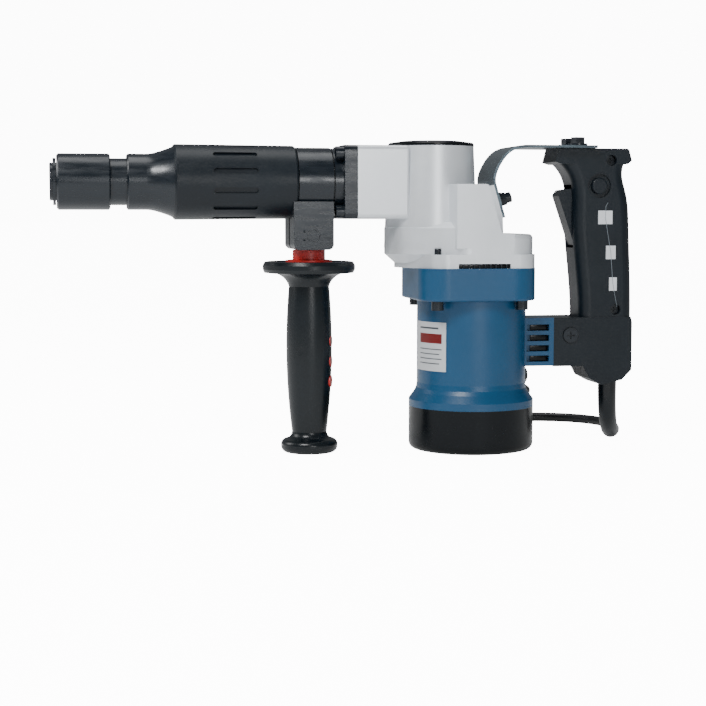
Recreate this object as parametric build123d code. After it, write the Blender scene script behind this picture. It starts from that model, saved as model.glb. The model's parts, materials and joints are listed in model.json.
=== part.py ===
"""Electric demolition hammer (17 mm hex class), built as an assembly of separate parts.

Millimetres, +Z up, tool axis along X with the tool holder towards -X.
The hammer stands on its motor cap and the knob of its side grip at Z = 0.
"""

from build123d import *
import math
import os

# ---- driving dimensions ----
LENGTH = 428.0
NOSE_X = -216.5
REAR_X = NOSE_X + LENGTH
AXIS_Z = 197.5  # hammer axis
CRANK_X = 60.2
MOTOR_X = 91.5
GRIP_X = -31.0
RUN = 0.05  # radial clearance of a running fit

# tool holder and locking sleeve
HEX_FLATS = 17.2
TAIL_R = 6.65
HOLDER_R = 14.2
NECK_R = 16.7
SLEEVE_R = 20.0
SLEEVE_X0 = NOSE_X + 4.9
SLEEVE_X1 = NOSE_X + 42.4
NECK_X0 = SLEEVE_X1 - 2.1
BARREL_X0 = NOSE_X + 54.1
HEX_END_X = NOSE_X + 48.5
TAIL_END_X = HEX_END_X + 25
GUIDE_X = TAIL_END_X + 4
COLLAR_X0 = HEX_END_X + 46
HOLDER_X1 = HEX_END_X + 58
BALL_R = 3.5
BALL_X = SLEEVE_X0 + 14.1
BALL_Y = 10.45
SLEEVE_TRAVEL = 8.0
BALL_TRAVEL = 2.0
SPRING_X0 = BALL_X + 4.5
SPRING_WIRE_R = 0.9

# barrel
COVER_X0 = -129.5
COVER_X1 = -42.0
BARREL_R = 23.5
BORE_R = 17.6
BAND_SEAT_R = 22.0
FLANGE_X0 = -8.8
FLANGE_X1 = 0.6
FLANGE_HALF = 26.5
FLANGE_BOLT = 21.0

# hammer mechanism
CYLINDER_R = 17.5
PISTON_R = 13.95
CYLINDER_X0 = -68.0
CYLINDER_X1 = 27.0
THROW = 12.0
ROD_LENGTH = 52.0
ROD_HALF = 6.0
CRANK_PIN_X = CRANK_X + THROW
WRIST_X = CRANK_PIN_X - ROD_LENGTH
CHAMBER_R = 28.5
CHAMBER_Z0 = 172.5

# gear pair
GEAR_TEETH = 46
PINION_TEETH = 7
GEAR_Z0 = 149.0
GEAR_Z1 = 159.0
PRESSURE = math.radians(25)
ADDENDUM = 0.8
DEDENDUM = 1.05
SHIFT = 0.3
BACKLASH = 0.16
MODULE = 2 * (MOTOR_X - CRANK_X) / (GEAR_TEETH + PINION_TEETH)

# housings
BLOCK_X1 = 38.5
CASE_FOOT_R = 34.6
CASE_TOP_R = 31.4
CASE_TOP_Z = AXIS_Z + FLANGE_HALF
JOINT_Z = 135.5
GEAR_CASE_Z1 = 160.2
LEDGE_Z = 169.0
RIM_Z = 145.6
CASE_FRONT_R = 34.4
GEAR_CASE_X0 = 44.6
GEAR_CASE_X1 = 130.5
POCKET_X0 = 48.0
POCKET_X1 = 127.5
CASE_HALF_Y = 44.5
PLATE_HALF_Y = 31.0
SCREW_XS = (57.0, 120.0)
SCREW_Y = 36.5
FLANGE_Z0 = 111.9
MOTOR_FLANGE_X1 = 132.0
MOTOR_R = 40.5
MOTOR_BORE_R = 37.4
CAP_R = 46.5
CAP_TOP_Z = 32.3

# rear handle
HANDLE_X0 = 150.4
HANDLE_HALF = 17.0
BRACKET_Z0 = 61.5
BRACKET_Z1 = 97.8
SLAB_Z0 = 211.5
SLAB_Z1 = 223.1
TRIGGER_PIVOT = (172.5, 157.0)
TRIGGER_HALF = 8.0
BUTTON = (184.4, 195.4)
GUARD_X = 198.6

# strap
STRAP_HALF = 23.0
STRAP_T = 2.0
STRAP_Z = SLAB_Z1 + STRAP_T / 2
STRAP_FOOT = (110.0, 172.0)
STRAP_KNEE = (103.0, 196.0)
STRAP_BOLT_Y = 12.0
STRAP_BOLT_X = 169.0

# side handle
CLAMP_HALF = 23.0
CLAMP_PIN_Z = 159.0
STUD_R = 5.0

# mains lead
CORD_R = 3.75
COIL_X = 118.0
COIL_Y = 93.5
COIL_R = 41.0
COIL_LAYERS = 5
GUARD_BEND_R = 33.0
GUARD_HEADING = (0.436, 0.9)

os.makedirs("parts", exist_ok=True)


# ---- helpers ----
def box(x0, x1, y0, y1, z0, z1):
    centre = ((x0 + x1) / 2, (y0 + y1) / 2, (z0 + z1) / 2)
    return Pos(*centre) * Box(x1 - x0, y1 - y0, z1 - z0)


def cyl_x(r, x0, x1, y=0.0, z=AXIS_Z):
    return Pos((x0 + x1) / 2, y, z) * Rot(0, 90, 0) * Cylinder(r, x1 - x0)


def cyl_y(r, y0, y1, x, z):
    return Pos(x, (y0 + y1) / 2, z) * Rot(90, 0, 0) * Cylinder(r, y1 - y0)


def cyl_z(r, z0, z1, x, y=0.0):
    return Pos(x, y, (z0 + z1) / 2) * Cylinder(r, z1 - z0)


def turn_x(profile):
    """Turn a closed outline of (x, radius) points about the hammer axis."""
    face = make_face(Polyline([(x, 0, r) for x, r in profile], close=True))
    return Pos(0, 0, AXIS_Z) * revolve(face, Axis.X)


def turn_z(profile, x):
    """Turn a closed outline of (radius, z) points about a vertical axis at x."""
    face = make_face(Polyline([(r, 0, z) for r, z in profile], close=True))
    return Pos(x, 0, 0) * revolve(face, Axis.Z)


def prism_y(points, half):
    """Extrude a closed outline of (x, z) points from -half to +half along Y."""
    face = make_face(Polyline([(x, 0, z) for x, z in points], close=True))
    return extrude(face, half, dir=(0, 1, 0), both=True)


def plate(x0, x1, half_y, corner, z0, z1):
    """A plate with rounded corners, seen from above."""
    outline = Pos((x0 + x1) / 2, 0, z0) * RectangleRounded(x1 - x0, 2 * half_y, corner)
    return extrude(outline, z1 - z0, dir=(0, 0, 1))


def sector(r0, r1, start, stop, z0, z1, x):
    """A ring sector about a vertical axis at x, angles in degrees from +X."""
    ends = [math.radians(a) for a in (start, (start + stop) / 2, stop)]
    inner = [(r0 * math.cos(a), r0 * math.sin(a)) for a in ends]
    outer = [(r1 * math.cos(a), r1 * math.sin(a)) for a in ends]
    edges = [
        ThreePointArc(*outer),
        Line(outer[2], inner[2]),
        ThreePointArc(*reversed(inner)),
        Line(inner[0], outer[0]),
    ]
    return extrude(Pos(x, 0, z0) * make_face(edges), z1 - z0, dir=(0, 0, 1))


def softened(solid, edges, radius):
    return solid.fillet(radius, edges)


def save(shape, name):
    export_step(Compound(label=name, children=list(shape.solids())), f"parts/{name}.step")
    print(f"{name}: {len(shape.solids())} solid(s), {sum(s.volume for s in shape.solids()):.0f} mm3")


# ---- tool holder end ----
def nose_ring():
    """The stop ring of the sleeve: a lip, and a collar just in front of the sleeve."""
    ring = cyl_x(13.4, NOSE_X, SLEEVE_X0) + cyl_x(16.7, NOSE_X + 2.4, SLEEVE_X0 - 0.3)
    ring -= cyl_x(10.2, NOSE_X - 1, SLEEVE_X0 + 1)
    front = ring.edges().filter_by(GeomType.CIRCLE).sort_by(Axis.X)[:2]
    return softened(ring, front, 0.8)


def hex_socket():
    face = Plane.YZ * Rot(0, 0, 30) * RegularPolygon(HEX_FLATS / 2, 6, major_radius=False)
    return Pos(SLEEVE_X0 - 1, 0, AXIS_Z) * extrude(face, HEX_END_X - SLEEVE_X0 + 1)


def tool_holder():
    body = turn_x([
        (SLEEVE_X0, 0), (SLEEVE_X0, HOLDER_R), (NECK_X0, HOLDER_R),
        (NECK_X0, NECK_R), (HOLDER_X1, NECK_R), (HOLDER_X1, 0),
    ])
    body -= hex_socket()
    body -= cyl_x(TAIL_R, HEX_END_X - 1, HOLDER_X1 + 1)
    body -= cyl_x(TAIL_R + 0.8, TAIL_END_X, GUIDE_X)
    body -= cyl_x(12 + RUN, COLLAR_X0, HOLDER_X1 + 1)
    for side in (-1, 1):
        body -= cyl_y(BALL_R + RUN, min(9 * side, 16 * side), max(9 * side, 16 * side), BALL_X, AXIS_Z)
        body -= cyl_y(3.2, min(6 * side, 10 * side), max(6 * side, 10 * side), BALL_X, AXIS_Z)
    return body


def chuck_sleeve():
    land = HOLDER_R + RUN
    return turn_x([
        (SLEEVE_X0, land), (SLEEVE_X0, SLEEVE_R - 1.4), (SLEEVE_X0 + 1.4, SLEEVE_R),
        (SLEEVE_X1 - 1, SLEEVE_R), (SLEEVE_X1, SLEEVE_R - 1), (SLEEVE_X1, NECK_R + RUN),
        (SPRING_X0, NECK_R + RUN), (SPRING_X0, land), (BALL_X, land),
        (BALL_X - SLEEVE_TRAVEL, land + BALL_TRAVEL),
        (BALL_X - SLEEVE_TRAVEL - BALL_R - 0.3, land + BALL_TRAVEL),
        (BALL_X - SLEEVE_TRAVEL - BALL_R - 0.3, land),
    ])


def chuck_spring():
    radius = (HOLDER_R + NECK_R + RUN) / 2
    start = SPRING_X0 + SPRING_WIRE_R + 0.2
    height = NECK_X0 - SPRING_WIRE_R - 0.2 - start
    path = Helix(height / 4, height, radius, center=(start, 0, AXIS_Z), direction=(1, 0, 0))
    wire = Plane(origin=path @ 0, z_dir=path % 0) * Circle(SPRING_WIRE_R)
    return sweep(wire, path)


def lock_ball(side):
    return Pos(BALL_X, side * BALL_Y, AXIS_Z) * Sphere(BALL_R)


# ---- barrel ----
def barrel():
    flare = Spline((-148.8, 0, 20.0), (-140.0, 0, 21.6), (COVER_X0, 0, 25.5), tangents=((1, 0, 0), (1, 0, 0.5)))
    outline = Polyline(
        (COVER_X0, 0, 25.5), (COVER_X0, 0, BARREL_R), (COVER_X1, 0, BARREL_R), (COVER_X1, 0, BAND_SEAT_R),
        (-15.2, 0, BAND_SEAT_R), (-15.2, 0, 24.0), (FLANGE_X1, 0, 24.0), (FLANGE_X1, 0, BORE_R),
        (HOLDER_X1, 0, BORE_R), (HOLDER_X1, 0, NECK_R + RUN), (BARREL_X0, 0, NECK_R + RUN),
        (BARREL_X0, 0, 19.0), (BARREL_X0 + 1, 0, 20.0), (-148.8, 0, 20.0),
    )
    tube = Pos(0, 0, AXIS_Z) * revolve(make_face([*flare.edges(), *outline.edges()]), Axis.X)
    flange = box(FLANGE_X0, FLANGE_X1, -FLANGE_HALF, FLANGE_HALF, AXIS_Z - FLANGE_HALF, AXIS_Z + FLANGE_HALF)
    flange = softened(flange, flange.edges().filter_by(Axis.X), 4)
    flange -= cyl_x(BORE_R, FLANGE_X0 - 1, FLANGE_X1 + 1)
    body = tube + flange
    for y, z in flange_places():
        body -= cyl_x(3.3, FLANGE_X0 - 8, FLANGE_X1 + 1, y, z)
    return body


def flange_places():
    return [(sy * FLANGE_BOLT, AXIS_Z + sz * FLANGE_BOLT) for sy in (-1, 1) for sz in (-1, 1)]


def barrel_cover():
    cover = turn_x([
        (COVER_X0, BARREL_R), (COVER_X0, 26.2), (COVER_X0 + 1.2, 27.05), (COVER_X1 - 1.2, 26.4),
        (COVER_X1, 25.6), (COVER_X1, BARREL_R),
    ])
    slot = extrude(SlotOverall(31.6, 4.2), 6)
    for k in range(12):
        cover -= Pos(-86.6, 0, AXIS_Z) * Rot(k * 30 + 13.5, 0, 0) * Pos(0, 0, 25.1) * slot
    return cover


def flange_screws():
    screws = []
    for y, z in flange_places():
        screw = cyl_x(4.5, FLANGE_X0 - 6, FLANGE_X0, y, z) + cyl_x(3.0, FLANGE_X0, 12.5, y, z)
        socket = Pos(FLANGE_X0 - 6.5, y, z) * extrude(Plane.YZ * RegularPolygon(2.5, 6, major_radius=False), 3.5)
        screws.append(screw - socket)
    return Compound(screws)


# ---- hammer mechanism ----
def impact_bolt():
    front = GUIDE_X - 2
    collar = COLLAR_X0 + 0.3
    return turn_x([
        (front, 0), (front, TAIL_R - RUN - 0.8), (front + 1, TAIL_R - RUN), (collar, TAIL_R - RUN),
        (collar, 12.0), (collar + 15.7, 12.0), (collar + 15.7, 8.0), (-72.8, 8.0), (-72.0, 7.2), (-72.0, 0),
    ])


def anvil_bush():
    return turn_x([(-97.0, 8 + RUN), (-97.0, BORE_R), (-70.0, BORE_R), (-70.0, 8 + RUN)])


def striker():
    return turn_x([
        (-62.0, 0), (-62.0, 12.5), (-60.5, PISTON_R), (-48.6, PISTON_R), (-48.6, 12.0), (-45.4, 12.0),
        (-45.4, PISTON_R), (-32.5, PISTON_R), (-32.0, 13.5), (-32.0, 0),
    ])


def striker_seal():
    return Pos(-47.0, 0, AXIS_Z) * Rot(0, 90, 0) * Torus(12.95, 0.95)


def cylinder():
    return turn_x([
        (CYLINDER_X0, 14.0), (CYLINDER_X0, CYLINDER_R), (CYLINDER_X1, CYLINDER_R), (CYLINDER_X1, 14.0),
    ])


def piston():
    body = turn_x([
        (3.2, 0), (3.2, 13.2), (4.0, PISTON_R), (6.4, PISTON_R), (6.4, 11.0), (9.6, 11.0),
        (9.6, PISTON_R), (29.2, PISTON_R), (29.2, 0),
    ])
    body -= box(WRIST_X - 9, 30, -8.7, 8.7, AXIS_Z - ROD_HALF - 0.4, AXIS_Z + ROD_HALF + 0.4)
    return body - cyl_z(4.0, AXIS_Z - 20, AXIS_Z + 20, WRIST_X)


def piston_seal():
    return Pos(8.0, 0, AXIS_Z) * Rot(0, 90, 0) * Torus(12.5, 1.4)


def wrist_pin():
    return cyl_z(4.0, AXIS_Z - 12.5, AXIS_Z + 12.5, WRIST_X)


def connecting_rod():
    z0, z1 = AXIS_Z - ROD_HALF, AXIS_Z + ROD_HALF
    rod = cyl_z(8.0, z0, z1, WRIST_X) + cyl_z(10.0, z0, z1, CRANK_PIN_X)
    rod += box(WRIST_X, CRANK_PIN_X, -4, 4, z0, z1)
    return rod - cyl_z(4 + RUN, z0 - 1, z1 + 1, WRIST_X) - cyl_z(5.3, z0 - 1, z1 + 1, CRANK_PIN_X)


def crankshaft():
    body = turn_z([
        (0, 136.8), (5.0, 136.8), (5.0, 144.0), (8.5, 144.0), (8.5, 173.0), (11, 173.6), (22.0, 173.6),
        (22.0, 184.0), (0, 184.0),
    ], CRANK_X)
    relief = cyl_z(40, 175.0, 185.0, CRANK_X + 46)
    pin = cyl_z(5.2, 183.0, AXIS_Z - ROD_HALF - 0.4, CRANK_PIN_X)
    return body - relief + pin + cyl_z(9.0, 174.0, 184.0, CRANK_PIN_X)


def bearing(outer, inner, z0, z1, x):
    """A ball bearing as one ring with a shield groove in each face."""
    mid = (outer + inner) / 2
    depth = 0.8
    return turn_z([
        (inner, z0), (mid - 1.2, z0), (mid - 1.2, z0 + depth), (mid + 1.2, z0 + depth), (mid + 1.2, z0),
        (outer, z0), (outer, z1), (mid + 1.2, z1), (mid + 1.2, z1 - depth), (mid - 1.2, z1 - depth),
        (mid - 1.2, z1), (inner, z1),
    ], x)


# ---- gears ----
def involute_point(base_r, radius):
    """Polar angle of the involute of a base circle at the given radius."""
    roll = math.sqrt(max((radius / base_r) ** 2 - 1, 0))
    return roll - math.atan(roll)


def gear_outline(teeth, shift):
    """A spur gear's face at the origin, with a tooth centred on +X."""
    pitch_r = MODULE * teeth / 2
    base_r = pitch_r * math.cos(PRESSURE)
    tip_r = pitch_r + MODULE * (ADDENDUM + shift)
    root_r = pitch_r - MODULE * (DEDENDUM - shift)
    half = (math.pi / 2 + 2 * shift * math.tan(PRESSURE)) / teeth - BACKLASH / 2 / pitch_r
    half += involute_point(base_r, pitch_r)
    start_r = max(base_r, root_r)
    radii = [start_r + (tip_r - start_r) * k / 3 for k in range(4)]
    flank = [(r, half - involute_point(base_r, r)) for r in radii]
    if root_r < start_r:
        flank.insert(0, (root_r, half))
    edges = []
    step = 2 * math.pi / teeth
    for k in range(teeth):
        middle = k * step
        low = [at(r, middle - a) for r, a in flank]
        high = [at(r, middle + a) for r, a in reversed(flank)]
        edges += [Line(a, b) for a, b in zip(low, low[1:])]
        edges.append(ThreePointArc(low[-1], at(tip_r, middle), high[0]))
        edges += [Line(a, b) for a, b in zip(high, high[1:])]
        root_end = at(root_r, middle + step - flank[0][1])
        edges.append(ThreePointArc(high[-1], at(root_r, middle + step / 2), root_end))
    return make_face(edges)


def at(radius, angle):
    return (radius * math.cos(angle), radius * math.sin(angle))


def crank_gear():
    """The gear has a gap facing the pinion's tooth at rest."""
    turn = 180 / GEAR_TEETH
    blank = extrude(Pos(CRANK_X, 0, GEAR_Z0) * Rot(0, 0, turn) * gear_outline(GEAR_TEETH, -SHIFT), GEAR_Z1 - GEAR_Z0)
    blank -= cyl_z(8.5, GEAR_Z0 - 1, GEAR_Z1 + 1, CRANK_X)
    for k in range(6):
        a = math.radians(60 * k + 30)
        blank -= cyl_z(4.5, GEAR_Z0 - 1, GEAR_Z1 + 1, CRANK_X + 17 * math.cos(a), 17 * math.sin(a))
    return blank


def armature_shaft():
    shaft = turn_z([
        (0, 24.5), (4.0, 24.5), (4.0, 33.0), (5.0, 33.0), (5.0, 126.8), (6.0, 126.8), (6.0, 137.0),
        (5.2, 137.0), (5.2, 147.5), (0, 147.5),
    ], MOTOR_X)
    pinion = extrude(Pos(MOTOR_X, 0, 147.5) * Rot(0, 0, 180) * gear_outline(PINION_TEETH, SHIFT), 12.5)
    return shaft + pinion


# ---- motor ----
def armature_core():
    core = cyl_z(20.0, 64, 104, MOTOR_X) - cyl_z(5.0, 60, 108, MOTOR_X)
    slot = box(14.5, 21, -1, 1, 63, 105)
    for k in range(12):
        core -= Pos(MOTOR_X, 0, 0) * Rot(0, 0, 30 * k) * slot
    return core


def armature_winding():
    ends = []
    for near, far in ((64, 58), (104, 111)):
        side = 1.5 if far > near else -1.5
        ends.append(turn_z([(6, near), (17, near), (17, far - side), (15, far), (8, far), (6, far - side)], MOTOR_X))
    return Compound(ends)


def commutator():
    body = cyl_z(11.5, 40, 56, MOTOR_X) - cyl_z(5.0, 39, 57, MOTOR_X)
    groove = box(10.6, 12, -0.3, 0.3, 39, 54)
    for k in range(24):
        body -= Pos(MOTOR_X, 0, 0) * Rot(0, 0, 15 * k) * groove
    return body


def fan():
    body = cyl_z(33.0, 120.5, 122.5, MOTOR_X) + cyl_z(9.0, 113, 121, MOTOR_X)
    blade = box(8, 32, -0.8, 0.8, 113, 121)
    for k in range(9):
        body += Pos(MOTOR_X, 0, 0) * Rot(0, 0, 40 * k) * blade
    return body - cyl_z(5.0, 110, 125, MOTOR_X)


def stator():
    core = cyl_z(MOTOR_BORE_R - 0.1, 64, 104, MOTOR_X) - cyl_z(20.8, 63, 105, MOTOR_X)
    for middle in (90, 270):
        for side in (-1, 1):
            a = middle + side * 44
            core -= sector(22.6, 33.4, a - 7, a + 7, 63, 105, MOTOR_X)
    return core


def field_coils():
    coils = []
    for middle in (90, 270):
        outer = sector(23.0, 33.0, middle - 50, middle + 50, 57.5, 110.5, MOTOR_X)
        window = sector(22.0, 34.0, middle - 38, middle + 38, 63.8, 104.2, MOTOR_X)
        coils.append(outer - window)
    return Compound(coils)


def brush_holders():
    holders = []
    for side in (-1, 1):
        y0, y1 = sorted((14.0 * side, 36.2 * side))
        holder = box(MOTOR_X - 4.5, MOTOR_X + 4.5, y0, y1, 41.5, 54.5)
        inner = box(MOTOR_X - 3.2, MOTOR_X + 3.2, min(y0, y0 - 2), max(y1, y1 + 2), 42.8, 53.2)
        holders.append(holder - inner)
    return Compound(holders)


def carbon_brushes():
    brushes = []
    for side in (-1, 1):
        y0, y1 = sorted((10.0 * side, 28.0 * side))
        brush = box(MOTOR_X - 3.1, MOTOR_X + 3.1, y0, y1, 43.0, 53.0)
        brushes.append(brush - cyl_z(11.5 + RUN, 40, 56, MOTOR_X))
    return Compound(brushes)


# ---- housings ----
def gear_housing():
    body = barrel_block() + crank_case() + lower_case() + boss()
    body += prism_y([(88, 158), (109.5, 158), *strap_inner_face(), (96, 194), (88, 194)], STRAP_HALF)
    body -= cyl_z(CHAMBER_R, CHAMBER_Z0, CASE_TOP_Z + 1, CRANK_X)
    body -= cyl_x(BORE_R, FLANGE_X1 - 1, CRANK_X)
    body -= cyl_z(17.5, 161.5, CHAMBER_Z0 + 1, CRANK_X)
    body -= cyl_z(10.5, 160, 162, CRANK_X)
    body -= cyl_z(30.0, 147.2, 160.5, CRANK_X)
    body -= cyl_z(9.5, 140, 161.5, MOTOR_X)
    body -= plate(POCKET_X0, POCKET_X1, PLATE_HALF_Y, 12, JOINT_Z - 1, 147.3)
    for y, z in flange_places():
        body -= cyl_x(3.0, FLANGE_X1 - 1, 13, y, z)
    for x in SCREW_XS:
        for y in (-SCREW_Y, SCREW_Y):
            body -= cyl_z(2.5, JOINT_Z - 1, 150, x, y)
    vent = box(70.6, 109.1, -60, -42.2, JOINT_Z - 1, JOINT_Z + 3.4)
    for cut in (vent, mirror(vent, Plane.XZ)):
        body -= cut
    (x0, z0), (x1, z1) = strap_hole_line()
    for y in (-STRAP_BOLT_Y, STRAP_BOLT_Y):
        body -= rod_between((x0, y, z0), (x1, y, z1), 3.0)
    return body


def barrel_block():
    """The square block behind the barrel flange, its rear corners rounded where it meets the crank case."""
    block = box(FLANGE_X1, BLOCK_X1, -FLANGE_HALF, FLANGE_HALF, AXIS_Z - FLANGE_HALF, AXIS_Z + FLANGE_HALF)
    block = softened(block, block.edges().filter_by(Axis.X), 3.5)
    return softened(block, block.edges().filter_by(Axis.Z).sort_by(Axis.X)[-2:], 2)


def crank_case():
    height = CASE_TOP_Z - 150
    return Pos(CRANK_X, 0, 150 + height / 2) * Cone(CASE_FOOT_R, CASE_TOP_R, height)


def case_outline(front_r, x0, x1, corner):
    """From above: a round front about the crank drawn out to a straight-sided body from x0 to x1."""
    front = Pos(CRANK_X, 0) * Circle(front_r)
    rear = Pos((x0 + x1) / 2, 0) * RectangleRounded(x1 - x0, 2 * CASE_HALF_Y, corner)
    return make_hull([*front.edges(), *rear.edges()])


def lower_case():
    """The gear space: a rim over the motor flange, a wide tier, and a taller tier round the crank case."""
    rim = extrude(Pos(0, 0, JOINT_Z) * case_outline(27, 50, GEAR_CASE_X1, 14), RIM_Z - JOINT_Z, dir=(0, 0, 1))
    under = Pos(CRANK_X, 0, (JOINT_Z + 3.4 + RIM_Z) / 2) * Cone(27, CASE_FRONT_R, RIM_Z - JOINT_Z - 3.4)
    outline = case_outline(CASE_FRONT_R, 61.2, GEAR_CASE_X1 - 0.4, 19)
    wide = extrude(Pos(0, 0, RIM_Z) * outline, GEAR_CASE_Z1 - RIM_Z, dir=(0, 0, 1))
    wide = softened(wide, wide.faces().sort_by(Axis.Z)[-1].edges(), 3.2)
    tall = extrude(Pos(0, 0, 150) * case_outline(CASE_FRONT_R, 61.2, 102, 19), LEDGE_Z - 150, dir=(0, 0, 1))
    tall = chamfer(tall.faces().sort_by(Axis.Z)[-1].edges(), 4.5)
    return rim + under + wide + tall


def boss():
    """The tall boss on each side over the motor, its front face leaning back towards the crank case."""
    side = prism_y([(60, 150), (60, 196), (92.3, 196), (102.3, 161), (112, 160.2), (112, 150)], CASE_HALF_Y)
    side = softened(side, side.edges().filter_by(Axis.Y).sort_by(Axis.Z)[-2:][1:], 2.5)
    half = CASE_HALF_Y
    plan = make_face(Polyline([(69.3, -half), (65, -28), (65, 28), (69.3, half), (112, half), (112, -half)], close=True))
    return side & extrude(Pos(0, 0, 150) * plan, 50, dir=(0, 0, 1))


def strap_inner_face():
    """Two points on the strap's inner face, from its foot up to its knee."""
    nx, nz = strap_normal()
    shift = STRAP_T / 2
    return [(x - nx * shift, z - nz * shift) for x, z in (STRAP_FOOT, STRAP_KNEE)]


def strap_normal():
    dx, dz = STRAP_KNEE[0] - STRAP_FOOT[0], STRAP_KNEE[1] - STRAP_FOOT[1]
    size = math.hypot(dx, dz)
    return dz / size, -dx / size


def strap_bolt_centre():
    return ((STRAP_FOOT[0] + STRAP_KNEE[0]) / 2, (STRAP_FOOT[1] + STRAP_KNEE[1]) / 2)


def strap_hole_line():
    """The lower bolt's line in the XZ plane, from inside the boss out past the strap."""
    (x, z), (nx, nz) = strap_bolt_centre(), strap_normal()
    return (x - 14 * nx, z - 14 * nz), (x + 3 * nx, z + 3 * nz)


def rod_between(start, end, radius):
    line = Line(start, end)
    return sweep(Plane(origin=start, z_dir=line % 0) * Circle(radius), line)


def crank_lid():
    plug_r = CHAMBER_R - RUN
    return turn_z([
        (0, CASE_TOP_Z - 3), (plug_r, CASE_TOP_Z - 3), (plug_r, CASE_TOP_Z), (31.6, CASE_TOP_Z),
        (31.6, CASE_TOP_Z + 1.6), (30.6, CASE_TOP_Z + 2.6), (22, CASE_TOP_Z + 3.8), (0, CASE_TOP_Z + 4.4),
    ], CRANK_X)


def bearing_plate():
    body = plate(POCKET_X0 + 0.3, POCKET_X1 - 0.3, PLATE_HALF_Y - 0.3, 11.7, JOINT_Z, 142.7)
    body += cyl_z(18.0, 126.8, JOINT_Z + 1, MOTOR_X)
    body -= cyl_z(14.0, 128.0, 136.0, MOTOR_X)
    body -= cyl_z(8.5, 120, 150, MOTOR_X)
    body -= cyl_z(9.5, 136.6, 145, CRANK_X)
    return body


def motor_housing():
    flange = plate(GEAR_CASE_X0, MOTOR_FLANGE_X1, 46.0, 20, FLANGE_Z0, JOINT_Z)
    flange = softened(flange, flange.faces().sort_by(Axis.Z)[0].edges(), 1.5)
    body = turn_z([
        (0, CAP_TOP_Z), (CAP_R, CAP_TOP_Z), (CAP_R, 37.5), (42.5, 43.0), (41.0, 46.0), (MOTOR_R, 50.0),
        (MOTOR_R, FLANGE_Z0 + 5), (0, FLANGE_Z0 + 5),
    ], MOTOR_X)
    bracket = box(MOTOR_X + 30, HANDLE_X0, -17.5, 17.5, BRACKET_Z0 + 0.5, BRACKET_Z1)
    body = body + flange + bracket
    body -= cyl_z(MOTOR_BORE_R, 37.0, JOINT_Z + 1, MOTOR_X)
    body -= cyl_z(MOTOR_BORE_R, CAP_TOP_Z - 1, 34.0, MOTOR_X)
    for k in range(6):
        a = math.radians(60 * k + 30)
        body -= cyl_z(7.5, 30, 40, MOTOR_X + 26 * math.cos(a), 26 * math.sin(a))
    body += cyl_z(14.5, 24.0, 35.0, MOTOR_X)
    body -= cyl_z(11.0, 23.0, 32.6, MOTOR_X)
    body -= cyl_z(6.5, 30.0, 38.0, MOTOR_X)
    for z in (67.5, 75.2, 82.9, 90.6):
        slot = box(129.5, 146.8, 13.5, 18.5, z - 2.3, z + 2.3)
        body -= slot
        body -= mirror(slot, Plane.XZ)
    for x in SCREW_XS:
        for y in (-SCREW_Y, SCREW_Y):
            body -= cyl_z(2.8, FLANGE_Z0 - 1, JOINT_Z + 1, x, y)
    return body


def housing_screws():
    screws = []
    for x in SCREW_XS:
        for y in (-SCREW_Y, SCREW_Y):
            screw = cyl_z(4.4, FLANGE_Z0 - 6.5, FLANGE_Z0, x, y) + cyl_z(2.5, FLANGE_Z0, 149.5, x, y)
            socket = Pos(x, y, FLANGE_Z0 - 7.0) * extrude(RegularPolygon(2.0, 6, major_radius=False), 3.5)
            screws.append(screw - socket)
    return Compound(screws)


def end_cap():
    cap = cyl_z(CAP_R, 0, CAP_TOP_Z, MOTOR_X)
    cap = softened(cap, cap.edges().filter_by(GeomType.CIRCLE).sort_by(Axis.Z)[:1], 5)
    return cap - cyl_z(CAP_R - 3, 4.0, CAP_TOP_Z + 1, MOTOR_X)


def rating_label():
    """A thin curved plate on the side of the motor that faces the tool holder and the left."""
    return sector(MOTOR_R, MOTOR_R + 0.4, 180, 229, 60, 96, MOTOR_X)


# ---- rear handle ----
def handle_outline():
    """The rear handle's grip column as a face in the XZ plane."""
    front = Spline(
        (171.5, 0, 92), (171.2, 0, 111), (168.9, 0, 137), (166.2, 0, 175), (165.2, 0, 197), (154.0, 0, 213.5)
    )
    back = Spline((206.5, 0, 213.5), (204.4, 0, 204), (207.6, 0, 190), (210.2, 0, 165), (212.2, 0, 111), (212.4, 0, 92))
    return make_face([
        *front.edges(), *Line((154.0, 0, 213.5), (206.5, 0, 213.5)).edges(),
        *back.edges(), *Line((212.4, 0, 92), (171.5, 0, 92)).edges(),
    ])


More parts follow.
